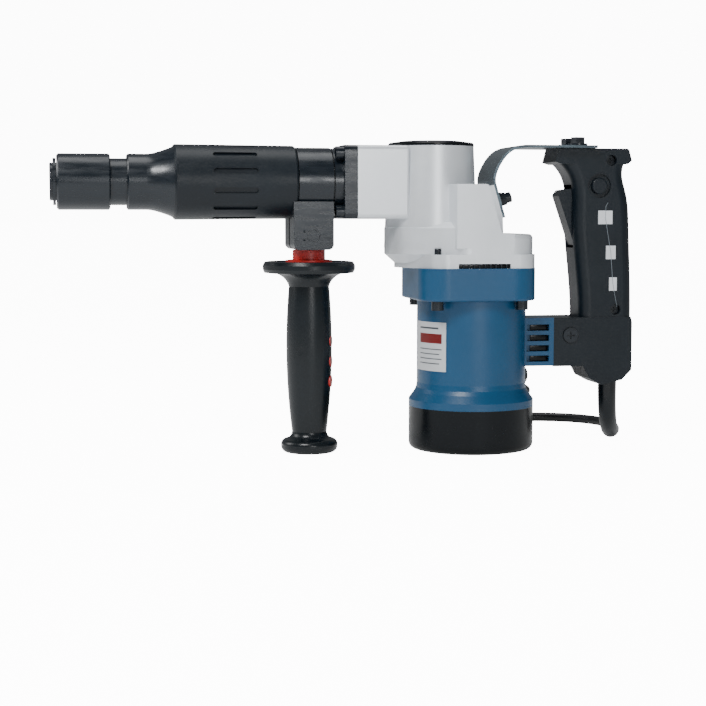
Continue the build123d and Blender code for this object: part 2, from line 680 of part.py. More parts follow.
def handle_body():
    column = extrude(handle_outline(), HANDLE_HALF, dir=(0, 1, 0), both=True)
    long_edges = [e for e in column.edges() if e.length > 100]
    column = softened(column, long_edges, 8)
    slab = prism_y([
        (150.6, SLAB_Z0 + 1.5), (153.2, SLAB_Z1), (206.0, SLAB_Z1), (207.6, SLAB_Z1 - 1),
        (209.8, SLAB_Z0 + 2.5), (206.5, SLAB_Z0), (155.5, SLAB_Z0),
    ], HANDLE_HALF)
    bracket = prism_y([
        (HANDLE_X0, BRACKET_Z0), (HANDLE_X0, BRACKET_Z1), (REAR_X - 1, BRACKET_Z1), (REAR_X, 94),
        (REAR_X, 58), (204, 50.5), (188, 47), (178.5, 52), (173.4, BRACKET_Z0),
    ], HANDLE_HALF + 0.5)
    bracket = softened(bracket, bracket.edges().filter_by(Axis.Y).group_by(Axis.Z)[-2:][0], 0.8)
    body = column + slab + bracket
    body -= box(174, 200, -13, 13, 114, 205)
    body -= box(176, 207, -13.5, 13.5, 66, 92)
    body -= box(188, 204, -7, 7, 90, 116)
    body -= box(150, 184, -TRIGGER_HALF - 0.5, TRIGGER_HALF + 0.5, 149.5, 196.5)
    body -= cyl_z(7.5, 40, 70, GUARD_X)
    for y in (-STRAP_BOLT_Y, STRAP_BOLT_Y):
        body -= cyl_z(3.0, SLAB_Z1 - 8, SLAB_Z1 + 1, STRAP_BOLT_X, y)
    body -= cyl_y(9.0, -20, -HANDLE_HALF + 1.5, *BUTTON)
    body -= cyl_y(6.15, -20, -10, *BUTTON)
    body -= cyl_y(1.6, -12, 12, *TRIGGER_PIVOT)
    for (x, z), depth, head_r in screw_seats():
        body -= cyl_y(head_r + 0.3, -30, -HANDLE_HALF - 0.5 + depth, x, z)
        body -= cyl_y(1.9, -18, 12, x, z)
    for x, z, w, h in inlay_places():
        body -= box(x - w / 2, x + w / 2, -20, -HANDLE_HALF + 1, z - h / 2, z + h / 2)
    return body


def screw_seats():
    """Place, depth of the head's seat below the near face, and head radius."""
    return [((193.9, 214.2), 7.0, 3.7), ((198.3, 103.5), 7.0, 3.7), ((163.3, 84.6), 1.4, 5.6)]


def handle_half(side):
    half = box(140, 220, min(0, 30 * side), max(0, 30 * side), 40, 230)
    return handle_body() & half


def handle_screws():
    screws = []
    for (x, z), depth, head_r in screw_seats():
        seat = -HANDLE_HALF - 0.5 + depth
        screw = cyl_y(head_r, seat - 2.4, seat, x, z) + cyl_y(1.9, seat, 11.5, x, z)
        for w, h in ((head_r, 0.9), (0.9, head_r)):
            screw -= box(x - w / 2, x + w / 2, seat - 3, seat - 1.2, z - h / 2, z + h / 2)
        screws.append(screw)
    return Compound(screws)


def inlay_places():
    """Centre, width and height of the pale inlays on the near side of the grip."""
    return [(189.4, 172.1, 11, 10), (194.0, 146.1, 7.5, 10), (196.0, 122.5, 6, 10)]


def handle_inlays():
    inlays = []
    for x, z, w, h in inlay_places():
        inlays.append(box(x - w / 2, x + w / 2, -HANDLE_HALF - 0.4, -HANDLE_HALF + 1, z - h / 2, z + h / 2))
    return Compound(inlays)


def trigger():
    body = prism_y([
        (155.8, 188.5), (158.5, 192.5), (167, 193.5), (176, 190), (176, 160), (174.6, 153.6), (168.5, 151.5),
    ], TRIGGER_HALF)
    body = softened(body, body.edges().filter_by(Axis.Y).sort_by(Axis.X)[:2], 1.5)
    return body - cyl_y(1.6 + RUN, -10, 10, *TRIGGER_PIVOT)


def trigger_pin():
    return cyl_y(1.6, -11.5, 11.5, *TRIGGER_PIVOT)


def switch_body():
    body = box(186, 199.7, -9.5, 9.5, 150, 186)
    return body + box(182, 186, -3, 3, 170, 176)


def lock_button():
    button = cyl_y(6.0, -19.5, -9.0, *BUTTON)
    return softened(button, button.edges().filter_by(GeomType.CIRCLE).sort_by(Axis.Y)[:1], 1.2)


def strap():
    path = Line((STRAP_FOOT[0], 0, STRAP_FOOT[1]), (STRAP_KNEE[0], 0, STRAP_KNEE[1]))
    bend = Spline(
        path @ 1, (107.5, 0, 213), (128, 0, STRAP_Z),
        tangents=((STRAP_KNEE[0] - STRAP_FOOT[0], 0, STRAP_KNEE[1] - STRAP_FOOT[1]), (1, 0, 0)),
    )
    top = Line((128, 0, STRAP_Z), (181, 0, STRAP_Z))
    start = Plane(origin=path @ 0, x_dir=(0, 1, 0), z_dir=path % 0)
    band = sweep(start * Rectangle(2 * STRAP_HALF, STRAP_T), Wire([*path.edges(), *bend.edges(), *top.edges()]))
    (x0, z0), (x1, z1) = strap_hole_line()
    for y in (-STRAP_BOLT_Y, STRAP_BOLT_Y):
        band -= rod_between((x0, y, z0), (x1, y, z1), 3.2)
        band -= cyl_z(3.2, STRAP_Z - 5, STRAP_Z + 5, STRAP_BOLT_X, y)
    return band


def hex_bolt(length):
    """A hex bolt and its washer standing on the origin: head above, shank of that length below."""
    washer = Pos(0, 0, 0.8) * Cylinder(7.2, 1.6)
    head = Pos(0, 0, 1.6) * extrude(RegularPolygon(4.6, 6, major_radius=False), 4.6)
    return washer + head + Pos(0, 0, -length / 2) * Cylinder(2.95, length)


def strap_bolts():
    (x, z), (nx, nz) = strap_bolt_centre(), strap_normal()
    seat = (x + nx * STRAP_T / 2, z + nz * STRAP_T / 2)
    bolts = []
    for y in (-STRAP_BOLT_Y, STRAP_BOLT_Y):
        lower = Plane(origin=(seat[0], y, seat[1]), x_dir=(0, 1, 0), z_dir=(nx, 0, nz))
        bolts.append(lower * (hex_bolt(13) + Pos(0, 0, 8) * Cylinder(3.9, 5)))
        bolts.append(Pos(STRAP_BOLT_X, y, STRAP_Z + STRAP_T / 2) * hex_bolt(9))
    return Compound(bolts)


# ---- side handle ----
def side_clamp():
    band = cyl_x(25.1, -41.3, -16.4)
    block = box(-45.3, -16.3, -CLAMP_HALF, CLAMP_HALF, 148.9, AXIS_Z - 14)
    block = softened(block, block.edges().filter_by(Axis.Y).sort_by(Axis.Z)[:2], 4)
    block -= cyl_x(26.8, -50, -41.3)
    body = band + block - cyl_x(BAND_SEAT_R + RUN, -50, -10)
    body -= box(-50, -10, -2, 2, 140, AXIS_Z - 20)
    body -= cyl_y(2.6, -30, 30, GRIP_X, CLAMP_PIN_Z)
    for side in (-1, 1):
        body -= Pos(0, side * (CLAMP_HALF + 3.5), 0) * cyl_y(4.4, -5, 5, GRIP_X, CLAMP_PIN_Z)
    return body - cyl_z(5 + RUN, 140, 168, GRIP_X)


def clamp_pin():
    """The cross pin that holds the grip's stud in the clamp block, with a flat head at each end."""
    seat = CLAMP_HALF - 1.5
    pin = cyl_y(2.5, -seat, seat, GRIP_X, CLAMP_PIN_Z)
    for side in (-1, 1):
        pin += Pos(0, side * (seat + 0.6), 0) * cyl_y(4.2, -0.6, 0.6, GRIP_X, CLAMP_PIN_Z)
    return pin


def clamp_collar():
    bore = STUD_R + RUN
    return turn_z([(bore, 139.6), (17, 139.6), (17, 141.2), (11.9, 141.8), (11.9, 148.6), (bore, 148.6)], GRIP_X)


def grip_stud():
    return cyl_z(STUD_R, 60, 166, GRIP_X) - cyl_y(2.5, -10, 10, GRIP_X, CLAMP_PIN_Z)


def side_grip():
    side = ThreePointArc((12.8, 0, 15.4), (16.7, 0, 72), (14.8, 0, 122))
    flare = ThreePointArc((14.8, 0, 122), (18.6, 0, 128.2), (29.5, 0, 131.6))
    knob_foot = ThreePointArc((15.5, 0, 0), (19.6, 0, 1.5), (20.8, 0, 5.2))
    knob_top = ThreePointArc((20.8, 0, 5.2), (20.2, 0, 8.2), (17.4, 0, 10.0))
    knob_neck = ThreePointArc((17.4, 0, 10.0), (14.2, 0, 11.9), (12.8, 0, 15.4))
    rest = Polyline(
        (29.5, 0, 131.6), (32.6, 0, 132.0), (33.8, 0, 134.5), (33.8, 0, 137.5), (32.4, 0, 140.0),
        (30.5, 0, 140.3), (28.6, 0, 139.0), (24.0, 0, 137.4), (18.0, 0, 137.2), (17.3, 0, 139.6),
        (0, 0, 139.6), (0, 0, 0), (15.5, 0, 0),
    )
    curves = [side, flare, knob_foot, knob_top, knob_neck]
    face = make_face([*rest.edges(), *(edge for curve in curves for edge in curve.edges())])
    body = Pos(GRIP_X, 0, 0) * revolve(face, Axis.Z)
    body -= cyl_z(STUD_R + RUN, 60, 150, GRIP_X)
    for place, pad in grip_pads():
        body -= place * pad
    return body


def grip_pads():
    """The grip's red pads: a place that looks outwards, and a round peg."""
    peg = Pos(0, 0, 2) * Cylinder(4.3, 4)
    return [(Pos(GRIP_X, 0, z) * Rot(0, 0, -22) * Rot(0, 90, 0) * Pos(0, 0, 12.6), peg) for z in (82, 67.3, 52.6)]


def grip_inlays():
    return Compound([place * pad for place, pad in grip_pads()])


# ---- mains lead ----
def cord_guard():
    hx, hy = GUARD_HEADING
    bend = GUARD_BEND_R
    top, knee = 67.0, 7.0 + GUARD_BEND_R
    low = bend * (1 - math.sqrt(0.5))
    down = Line((GUARD_X, 0, top), (GUARD_X, 0, knee))
    middle = (GUARD_X + hx * low, hy * low, knee - bend * math.sqrt(0.5))
    arc = ThreePointArc((GUARD_X, 0, knee), middle, (GUARD_X + hx * bend, hy * bend, knee - bend))
    path = Wire([*down.edges(), *arc.edges()])
    wide = Plane(origin=path @ 0, z_dir=path % 0) * Circle(7.2)
    narrow = Plane(origin=path @ 1, z_dir=path % 1) * Circle(6.3)
    return sweep([wide, narrow], path, multisection=True) + cyl_z(8.2, 66.2, 69.5, GUARD_X)


def lead_route():
    hx, hy = GUARD_HEADING
    start = (GUARD_X + hx * GUARD_BEND_R, hy * GUARD_BEND_R, 7.0)
    turn_1 = (start[0] + 60 * hx, start[1] + 60 * hy, CORD_R)
    turn_2 = (turn_1[0] - 34, COIL_Y + COIL_R + CORD_R, CORD_R)
    return [start, turn_1, turn_2, (COIL_X + 20, turn_2[1], CORD_R)]


def bend_radii(points):
    """Each bend's radius: 0.45 of the shorter run over the tangent of half the turn."""
    radii = []
    for a, b, c in zip(points, points[1:], points[2:]):
        u, v = Vector(b) - Vector(a), Vector(c) - Vector(b)
        half_turn = math.radians(u.get_angle(v)) / 2
        radii.append(0.45 * min(u.length, v.length) / math.tan(half_turn))
    return radii


def tube(path, radius):
    return sweep(Plane(origin=path @ 0, z_dir=path % 0) * Circle(radius), path)


def mains_cord():
    points = lead_route()
    radii = bend_radii(points)
    path = FilletPolyline(*points, radius=radii)
    lead = tube(path, CORD_R)
    coil_top = 2 * CORD_R * COIL_LAYERS
    tail = Line((COIL_X + 40, COIL_Y + 22, coil_top - 1), (COIL_X + 24, COIL_Y + COIL_R, 56.5))
    print("bend radii", [round(r, 1) for r in radii], "lead length", round(path.length, 1))
    print("lead volume / (section x length)", round(lead.volume / (math.pi * CORD_R**2 * path.length), 4))
    return Compound([lead.solid(), tube(tail, CORD_R).solid()])


def cord_coil():
    inner, outer = COIL_R - 2 * CORD_R, COIL_R + 2 * CORD_R
    height = 2 * CORD_R * COIL_LAYERS
    ring = Pos(COIL_X, COIL_Y, height / 2) * (Cylinder(outer, height) - Cylinder(inner, height + 2))
    return softened(ring, ring.edges().filter_by(GeomType.CIRCLE), 3)


def mains_plug():
    """A generic round two-pin plug lying on the coil, its lead towards +X."""
    y, z = COIL_Y + COIL_R, 56.5
    body = Pos(COIL_X, y, z) * Rot(0, 90, 0) * (
        Pos(0, 0, 16) * Cone(14.0, 6.0, 16) + Pos(0, 0, 1) * Cylinder(14.0, 14) + Pos(0, 0, -9) * Cylinder(18.9, 6)
    )
    for side in (-1, 1):
        body += cyl_x(2.4, COIL_X - 31, COIL_X - 11, y + side * 9.5, z)
    return body


PARTS = {
    "nose_ring": nose_ring,
    "tool_holder": tool_holder,
    "chuck_sleeve": chuck_sleeve,
    "chuck_spring": chuck_spring,
    "lock_ball_left": lambda: lock_ball(-1),
    "lock_ball_right": lambda: lock_ball(1),
    "barrel": barrel,
    "barrel_cover": barrel_cover,
    "flange_screws": flange_screws,
    "impact_bolt": impact_bolt,
    "anvil_bush": anvil_bush,
    "striker": striker,
    "striker_seal": striker_seal,
    "cylinder": cylinder,
    "piston": piston,
    "piston_seal": piston_seal,
    "wrist_pin": wrist_pin,
    "connecting_rod": connecting_rod,
    "crankshaft": crankshaft,
    "crank_gear": crank_gear,
    "crank_bearing_upper": lambda: bearing(17.5, 8.5 + RUN, 161.8, 171.8, CRANK_X),
    "crank_bearing_lower": lambda: bearing(9.5, 5.0 + RUN, 136.6, 142.6, CRANK_X),
    "gear_housing": gear_housing,
    "crank_lid": crank_lid,
    "bearing_plate": bearing_plate,
    "motor_housing": motor_housing,
    "housing_screws": housing_screws,
    "end_cap": end_cap,
    "rating_label": rating_label,
    "armature_shaft": armature_shaft,
    "armature_core": armature_core,
    "armature_winding": armature_winding,
    "commutator": commutator,
    "fan": fan,
    "motor_bearing_upper": lambda: bearing(14.0, 6.0 + RUN, 128.0, 136.0, MOTOR_X),
    "motor_bearing_lower": lambda: bearing(11.0, 4.0 + RUN, 25.3, 32.3, MOTOR_X),
    "stator": stator,
    "field_coils": field_coils,
    "brush_holders": brush_holders,
    "carbon_brushes": carbon_brushes,
    "handle_left": lambda: handle_half(-1),
    "handle_right": lambda: handle_half(1),
    "handle_inlays": handle_inlays,
    "handle_screws": handle_screws,
    "trigger": trigger,
    "trigger_pin": trigger_pin,
    "switch_body": switch_body,
    "lock_button": lock_button,
    "strap": strap,
    "strap_bolts": strap_bolts,
    "side_clamp": side_clamp,
    "clamp_pin": clamp_pin,
    "clamp_collar": clamp_collar,
    "side_grip": side_grip,
    "grip_stud": grip_stud,
    "grip_inlays": grip_inlays,
    "cord_guard": cord_guard,
    "mains_cord": mains_cord,
    "cord_coil": cord_coil,
    "mains_plug": mains_plug,
}

for name, make in PARTS.items():
    save(make(), name)
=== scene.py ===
"""Looks of the electric demolition hammer: camera, mains lead, materials, details, floor and light."""

import bpy
import bmesh
import json
import math
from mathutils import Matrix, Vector


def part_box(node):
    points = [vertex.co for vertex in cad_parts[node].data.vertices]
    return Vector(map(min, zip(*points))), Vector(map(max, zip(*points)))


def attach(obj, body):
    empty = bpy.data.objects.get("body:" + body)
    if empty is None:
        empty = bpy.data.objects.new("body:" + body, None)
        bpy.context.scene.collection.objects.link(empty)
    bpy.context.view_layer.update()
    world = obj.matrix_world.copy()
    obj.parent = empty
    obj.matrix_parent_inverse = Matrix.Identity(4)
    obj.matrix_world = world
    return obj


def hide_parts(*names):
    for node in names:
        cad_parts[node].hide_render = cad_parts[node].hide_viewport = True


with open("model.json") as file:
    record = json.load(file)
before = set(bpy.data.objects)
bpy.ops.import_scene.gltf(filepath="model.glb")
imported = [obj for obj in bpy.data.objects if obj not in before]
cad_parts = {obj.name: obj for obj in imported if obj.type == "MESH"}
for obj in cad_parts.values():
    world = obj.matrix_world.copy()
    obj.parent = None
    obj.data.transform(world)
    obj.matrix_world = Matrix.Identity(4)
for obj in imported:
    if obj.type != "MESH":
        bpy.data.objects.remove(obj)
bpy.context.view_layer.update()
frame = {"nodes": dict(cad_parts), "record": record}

# Places taken from the frame, in metres.
CAP_LOW, CAP_HIGH = (Vector(corner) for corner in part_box("end_cap"))
MOTOR = Vector(((CAP_LOW.x + CAP_HIGH.x) / 2, 0, 0))
COIL_LOW, COIL_HIGH = (Vector(corner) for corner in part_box("cord_coil"))
COIL = (COIL_LOW + COIL_HIGH) / 2
COIL_R = (COIL_HIGH.x - COIL_LOW.x) / 2

# Camera, in metres and millimetres of lens.
CAMERA_PLACE = (-0.2127, -1.1571, 0.175)
CAMERA_AIM = (0.0018, 0.0, 0.0724)
CAMERA_LENS = 81.6
CAMERA_SENSOR = 36

# Mains lead.
CORD_D = 0.0075
COIL_TURNS = 8.6
COIL_LAYERS = 5
POINTS_PER_TURN = 16
RING_STEP = CORD_D * 1.02
GUARD_ROOT = Vector((0.1986, 0, 0.007))
GUARD_HEADING = Vector((0.436, 0.9, 0))
GUARD_REACH = 0.033

# The near side of the tool is -Y.
SIDES = ((-1, "near"), (1, "far"))

# Vents of the rear bracket, each holding a dark block of painted shade.
VENT_X = (0.1330, 0.1467)
VENT_Y = (0.0135, 0.0145)
VENT_Z = 0.0675
VENT_PITCH = 0.0077
VENT_COUNT = 4
VENT_HALF = 0.0022

# Exhaust grilles over the motor flange: fins in front of a dark plate of painted shade.
GRILLE_X = (0.0707, 0.1090)
GRILLE_Y = (0.0422, 0.0431)
GRILLE_TOP = 0.0033
FIN_X = 0.0737
FIN_PITCH = 0.004
FIN_WIDTH = 0.0012
FIN_OUT = 0.0442
FIN_COUNT = 9


def aimed(place, aim):
    """The rotation that points a camera or lamp at a place."""
    return (Vector(aim) - Vector(place)).to_track_quat("-Z", "Y").to_euler()


# ---- camera ----
def camera():
    data = bpy.data.cameras.new("camera")
    data.lens = CAMERA_LENS
    data.sensor_width = CAMERA_SENSOR
    view = bpy.data.objects.new("camera", data)
    bpy.context.collection.objects.link(view)
    view.location = CAMERA_PLACE
    view.rotation_euler = aimed(CAMERA_PLACE, CAMERA_AIM)
    bpy.context.scene.camera = view


camera()


# ---- helpers ----
def link(name, data, body="housing"):
    """Make an object that rides on a body."""
    piece = bpy.data.objects.new(name, data)
    bpy.context.collection.objects.link(piece)
    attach(piece, body)
    return piece


def mesh_piece(name, shape, material, body="housing"):
    """Turn a bmesh into a piece that rides on a body."""
    bmesh.ops.recalc_face_normals(shape, faces=shape.faces)
    data = bpy.data.meshes.new(name)
    shape.to_mesh(data)
    shape.free()
    for face in data.polygons:
        face.use_smooth = True
    piece = link(name, data, body)
    piece.data.materials.append(MATERIALS[material])
    return piece


def rounded_block(low, high, radius):
    """A box with rounded edges."""
    shape = bmesh.new()
    bmesh.ops.create_cube(shape, size=1.0)
    size = Vector(high) - Vector(low)
    centre = (Vector(high) + Vector(low)) / 2
    bmesh.ops.scale(shape, vec=size, verts=shape.verts)
    bmesh.ops.translate(shape, vec=centre, verts=shape.verts)
    bmesh.ops.bevel(shape, geom=shape.edges[:], offset=radius, segments=3, profile=0.5, affect="EDGES")
    return shape


def bead(name, points, radius, material, sides=8):
    """A thin round bead along some points."""
    shape, rings = bmesh.new(), []
    turns = [2 * math.pi * k / sides for k in range(sides)]
    for before, here, after in zip([points[0]] + points, points, points[1:] + [points[-1]]):
        along = (after - before).normalized()
        across = along.cross(Vector((0, 1, 0))).normalized()
        up = along.cross(across)
        ring = [here + radius * (math.cos(a) * across + math.sin(a) * up) for a in turns]
        rings.append([shape.verts.new(place) for place in ring])
    for low, high in zip(rings, rings[1:]):
        for k in range(sides):
            j = (k + 1) % sides
            shape.faces.new((low[k], low[j], high[j], high[k]))
    shape.faces.new(rings[0])
    shape.faces.new(rings[-1])
    return mesh_piece(name, shape, material)


# ---- materials ----
def shader(name, colour, roughness, metallic, shine=0.5):
    """A new material, with its node tree and object coordinates at hand."""
    material = bpy.data.materials.new(name)
    material.use_nodes = True
    nodes, links = material.node_tree.nodes, material.node_tree.links
    surface = nodes["Principled BSDF"]
    surface.inputs["Base Color"].default_value = (*colour, 1)
    surface.inputs["Roughness"].default_value = roughness
    surface.inputs["Metallic"].default_value = metallic
    surface.inputs["Specular IOR Level"].default_value = shine
    place = nodes.new("ShaderNodeTexCoord")
    return material, nodes, links, surface, place


def noise(nodes, links, place, scale, detail=4.0):
    """A noise texture in object coordinates."""
    texture = nodes.new("ShaderNodeTexNoise")
    texture.inputs["Scale"].default_value = scale
    texture.inputs["Detail"].default_value = detail
    texture.inputs["Roughness"].default_value = 0.6
    links.new(place.outputs["Object"], texture.inputs["Vector"])
    return texture


def spread(nodes, links, source, low, high):
    """Map the middle of a noise to a range."""
    remap = nodes.new("ShaderNodeMapRange")
    remap.inputs["From Min"].default_value = 0.3
    remap.inputs["From Max"].default_value = 0.7
    remap.inputs["To Min"].default_value = low
    remap.inputs["To Max"].default_value = high
    links.new(source, remap.inputs["Value"])
    return remap.outputs["Result"]


def add_bump(nodes, links, surface, height, strength, distance):
    """Raise and sink the surface by a texture."""
    bump = nodes.new("ShaderNodeBump")
    bump.inputs["Strength"].default_value = strength
    bump.inputs["Distance"].default_value = distance
    links.new(height, bump.inputs["Height"])
    links.new(bump.outputs["Normal"], surface.inputs["Normal"])


def tinted(nodes, links, source, dark, light):
    """A colour between two tones, led by a texture."""
    ramp = nodes.new("ShaderNodeValToRGB")
    ramp.color_ramp.elements[0].position = 0.32
    ramp.color_ramp.elements[1].position = 0.68
    ramp.color_ramp.elements[0].color = (*dark, 1)
    ramp.color_ramp.elements[1].color = (*light, 1)
    links.new(source, ramp.inputs["Fac"])
    return ramp.outputs["Color"]


def moulded(name, colour, roughness, grain, bump, spread_by=0.05, lift=1.35, metallic=0.0, shine=0.5):
    """A moulded, painted or cast surface: blotchy tone, uneven roughness and a fine grain."""
    material, nodes, links, surface, place = shader(name, colour, roughness, metallic, shine)
    broad = noise(nodes, links, place, 28.0, 6.0)
    fine = noise(nodes, links, place, grain, 3.0)
    light = tuple(min(1.0, c * lift) for c in colour)
    links.new(tinted(nodes, links, broad.outputs["Fac"], colour, light), surface.inputs["Base Color"])
    rough = spread(nodes, links, broad.outputs["Fac"], roughness - spread_by, roughness + spread_by)
    links.new(rough, surface.inputs["Roughness"])
    add_bump(nodes, links, surface, fine.outputs["Fac"], bump, 0.0004)
    return material


def machined(name, colour, roughness, stretch, bump=0.12, metallic=1.0):
    """A turned or brushed metal: fine lines along one direction."""
    material, nodes, links, surface, place = shader(name, colour, roughness, metallic)
    mapping = nodes.new("ShaderNodeMapping")
    mapping.inputs["Scale"].default_value = stretch
    links.new(place.outputs["Object"], mapping.inputs["Vector"])
    lines = nodes.new("ShaderNodeTexNoise")
    lines.inputs["Scale"].default_value = 60.0
    lines.inputs["Detail"].default_value = 5.0
    links.new(mapping.outputs["Vector"], lines.inputs["Vector"])
    light = tuple(min(1.0, c * 1.25) for c in colour)
    links.new(tinted(nodes, links, lines.outputs["Fac"], colour, light), surface.inputs["Base Color"])
    rough = spread(nodes, links, lines.outputs["Fac"], roughness - 0.07, roughness + 0.1)
    links.new(rough, surface.inputs["Roughness"])
    add_bump(nodes, links, surface, lines.outputs["Fac"], bump, 0.0002)
    return material


MATERIALS = {
    "cast_silver": moulded("cast_silver", (0.66, 0.69, 0.72), 0.34, 700.0, 0.14, metallic=0.4, lift=1.1),
    "plastic_blue": moulded("plastic_blue", (0.0045, 0.056, 0.132), 0.34, 1500.0, 0.22, lift=1.12, shine=0.4),
    "plastic_black": moulded("plastic_black", (0.003, 0.006, 0.0095), 0.36, 1700.0, 0.3, shine=0.3),
    "cap_black": moulded("cap_black", (0.0012, 0.0024, 0.0036), 0.24, 1100.0, 0.1, shine=0.2),
    "rubber_black": moulded("rubber_black", (0.0022, 0.0045, 0.0065), 0.3, 1300.0, 0.16, shine=0.35),
    "steel_black": machined("steel_black", (0.0035, 0.007, 0.0115), 0.27, (1.0, 6.0, 6.0), metallic=0.1),
    "steel_bright": machined("steel_bright", (0.5, 0.5, 0.49), 0.28, (1.0, 8.0, 8.0)),
    "steel_grey": machined("steel_grey", (0.1, 0.13, 0.15), 0.26, (1.0, 1.0, 9.0), metallic=0.85),
    "cast_grey": moulded("cast_grey", (0.3, 0.3, 0.31), 0.5, 500.0, 0.3, metallic=0.7),
    "copper": machined("copper", (0.5, 0.19, 0.07), 0.35, (6.0, 6.0, 1.0)),
    "brass": machined("brass", (0.55, 0.39, 0.13), 0.32, (1.0, 6.0, 1.0)),
    "carbon": moulded("carbon", (0.02, 0.02, 0.021), 0.6, 900.0, 0.3),
    "red": moulded("red", (0.42, 0.012, 0.01), 0.38, 1200.0, 0.15, lift=1.2),
    # The inlays' pale tone is a painted highlight, standing in for the glints on the rear handle.
    "pale_inlay": moulded("pale_inlay", (0.6, 0.62, 0.65), 0.25, 900.0, 0.1, lift=1.15),
    "label": moulded("label", (0.5, 0.52, 0.54), 0.36, 900.0, 0.04, spread_by=0.04, lift=1.1),
    "label_red": moulded("label_red", (0.42, 0.03, 0.03), 0.38, 900.0, 0.04, lift=1.15),
    "label_grey": moulded("label_grey", (0.12, 0.14, 0.16), 0.4, 900.0, 0.04, lift=1.15),
    "cord": moulded("cord", (0.005, 0.006, 0.008), 0.42, 1600.0, 0.25),
}

# The clamp pin gets the black steel look in place of its bright steel slot.
NODE_LOOKS = {"clamp_pin": "steel_black"}


def dress_cad():
    """Give every CAD node its slot's material."""
    for part in frame["record"]["subparts"]:
        node = frame["nodes"][part["node"]]
        node.data.materials.clear()
        node.data.materials.append(MATERIALS[NODE_LOOKS.get(part["node"], part["material_slot"])])


dress_cad()


# ---- mains lead ----
def lead_route():
    """The lead's points from the guard's mouth to the coil."""
    guard_end = GUARD_ROOT + GUARD_REACH * GUARD_HEADING
    first_turn = guard_end + 0.06 * GUARD_HEADING
    first_turn.z = CORD_D / 2
    far_y = COIL.y + COIL_R - CORD_D / 2
    second_turn = Vector((first_turn.x - 0.034, far_y, CORD_D / 2))
    return [guard_end, first_turn, second_turn]


def coil_points():
    """Turns that climb in layers, outer ring then inner ring, from the far side round to the right."""
    points = []
    for k in range(round(COIL_TURNS * POINTS_PER_TURN) + 1):
        turn = k / POINTS_PER_TURN
        layer = min(turn / 2, COIL_LAYERS - 1)
        inward = 0.5 - 0.5 * math.cos(math.pi * turn)
        radius = COIL_R - CORD_D / 2 - RING_STEP * inward
        angle = math.pi / 2 + 2 * math.pi * turn
        height = CORD_D / 2 + CORD_D * layer
        points.append(Vector((COIL.x + radius * math.cos(angle), COIL.y + radius * math.sin(angle), height)))
    return points


def climb_to_plug():
    """The lead's points from the coil up and round into the plug, a little way inside it."""
    low, high = (Vector(corner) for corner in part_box("mains_plug"))
    entry = Vector((high.x, (low.y + high.y) / 2, (low.z + high.z) / 2))
    climb = [
        Vector((0.1520, 0.0775, 0.0380)), Vector((0.1610, 0.0940, 0.0430)), Vector((0.1633, 0.1075, 0.0475)),
        Vector((0.1595, 0.1205, 0.0520)), Vector((0.1515, 0.1300, 0.0550)),
    ]
    return climb + [entry, entry + Vector((-0.0035, 0.0014, 0.0005))]


def mains_lead():
    """The lead as one curve, from the guard through the coil to the plug."""
    start = lead_route()
    points = start + coil_points() + climb_to_plug()
    curve = bpy.data.curves.new("mains_lead", "CURVE")
    curve.dimensions = "3D"
    curve.bevel_depth = CORD_D / 2
    curve.bevel_resolution = 4
    curve.resolution_u = 6
    curve.use_fill_caps = True
    spline = curve.splines.new("NURBS")
    spline.points.add(len(points) - 1)
    for point, place in zip(spline.points, points):
        point.co = (*place, 1)
    spline.order_u = 3
    spline.use_endpoint_u = True
    lead = link("mains_lead", curve)
    lead.data.materials.append(MATERIALS["cord"])
    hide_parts("mains_cord", "cord_coil")


mains_lead()


# ---- surface details ----
def label_bar(name, start, stop, low_z, high_z, material):
    """A raised bar round the motor between two angles in degrees."""
    radius = MOTOR.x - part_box("rating_label")[0].x + 0.00005
    steps = 10
    shape, rows = bmesh.new(), []
    for k in range(steps + 1):
        angle = math.radians(start + (stop - start) * k / steps)
        x, y = MOTOR.x + radius * math.cos(angle), radius * math.sin(angle)
        rows.append((shape.verts.new((x, y, low_z)), shape.verts.new((x, y, high_z))))
    for (low_0, high_0), (low_1, high_1) in zip(rows, rows[1:]):
        shape.faces.new((low_0, low_1, high_1, high_0))
    bmesh.ops.solidify(shape, geom=shape.faces[:], thickness=0.00008)
    mesh_piece(name, shape, material)


def label_marks():
    """Ink on the rating label: a red band and grey lines, with no text."""
    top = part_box("rating_label")[1].z
    label_bar("label_band", 190, 224, top - 0.0155, top - 0.0085, "label_red")
    label_bar("label_top_line", 190, 220, top - 0.005, top - 0.0038, "label_grey")
    for k in range(4):
        z = top - 0.0195 - 0.0035 * k
        label_bar(f"label_line_{k}", 190, 224 - 3 * (k % 2), z - 0.0007, z, "label_grey")


def grip_bead():
    """The thin pale bead that joins the inlays on the rear handle."""
    centres = node_part_centres("handle_inlays")
    low, high = (Vector(corner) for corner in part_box("handle_inlays"))
    y = low.y + 0.0002
    points = [Vector((high.x - 0.0075, y, high.z + 0.006)), Vector((low.x + 0.006, y, high.z + 0.0035))]
    points += [Vector((c.x, y, c.z)) for c in centres]
    points.append(Vector((high.x + 0.0004, y, low.z - 0.012)))
    bead("handle_bead", points, 0.00028, "label_grey")


def node_part_centres(node):
    """The centres of a node's separate islands, from the top down."""
    shape = bmesh.new()
    shape.from_mesh(frame["nodes"][node].data)
    bmesh.ops.remove_doubles(shape, verts=shape.verts, dist=1e-6)
    left, centres = set(shape.verts), []
    while left:
        island, todo = [], [left.pop()]
        while todo:
            vertex = todo.pop()
            island.append(vertex)
            for edge in vertex.link_edges:
                other = edge.other_vert(vertex)
                if other in left:
                    left.remove(other)
                    todo.append(other)
        low = Vector(min(v.co[k] for v in island) for k in range(3))
        high = Vector(max(v.co[k] for v in island) for k in range(3))
        centres.append((low + high) / 2)
    shape.free()
    return sorted(centres, key=lambda c: -c.z)


def between(side, inner, outer):
    """Two distances from the middle plane on one side, lowest first."""
    return sorted((side * inner, side * outer))


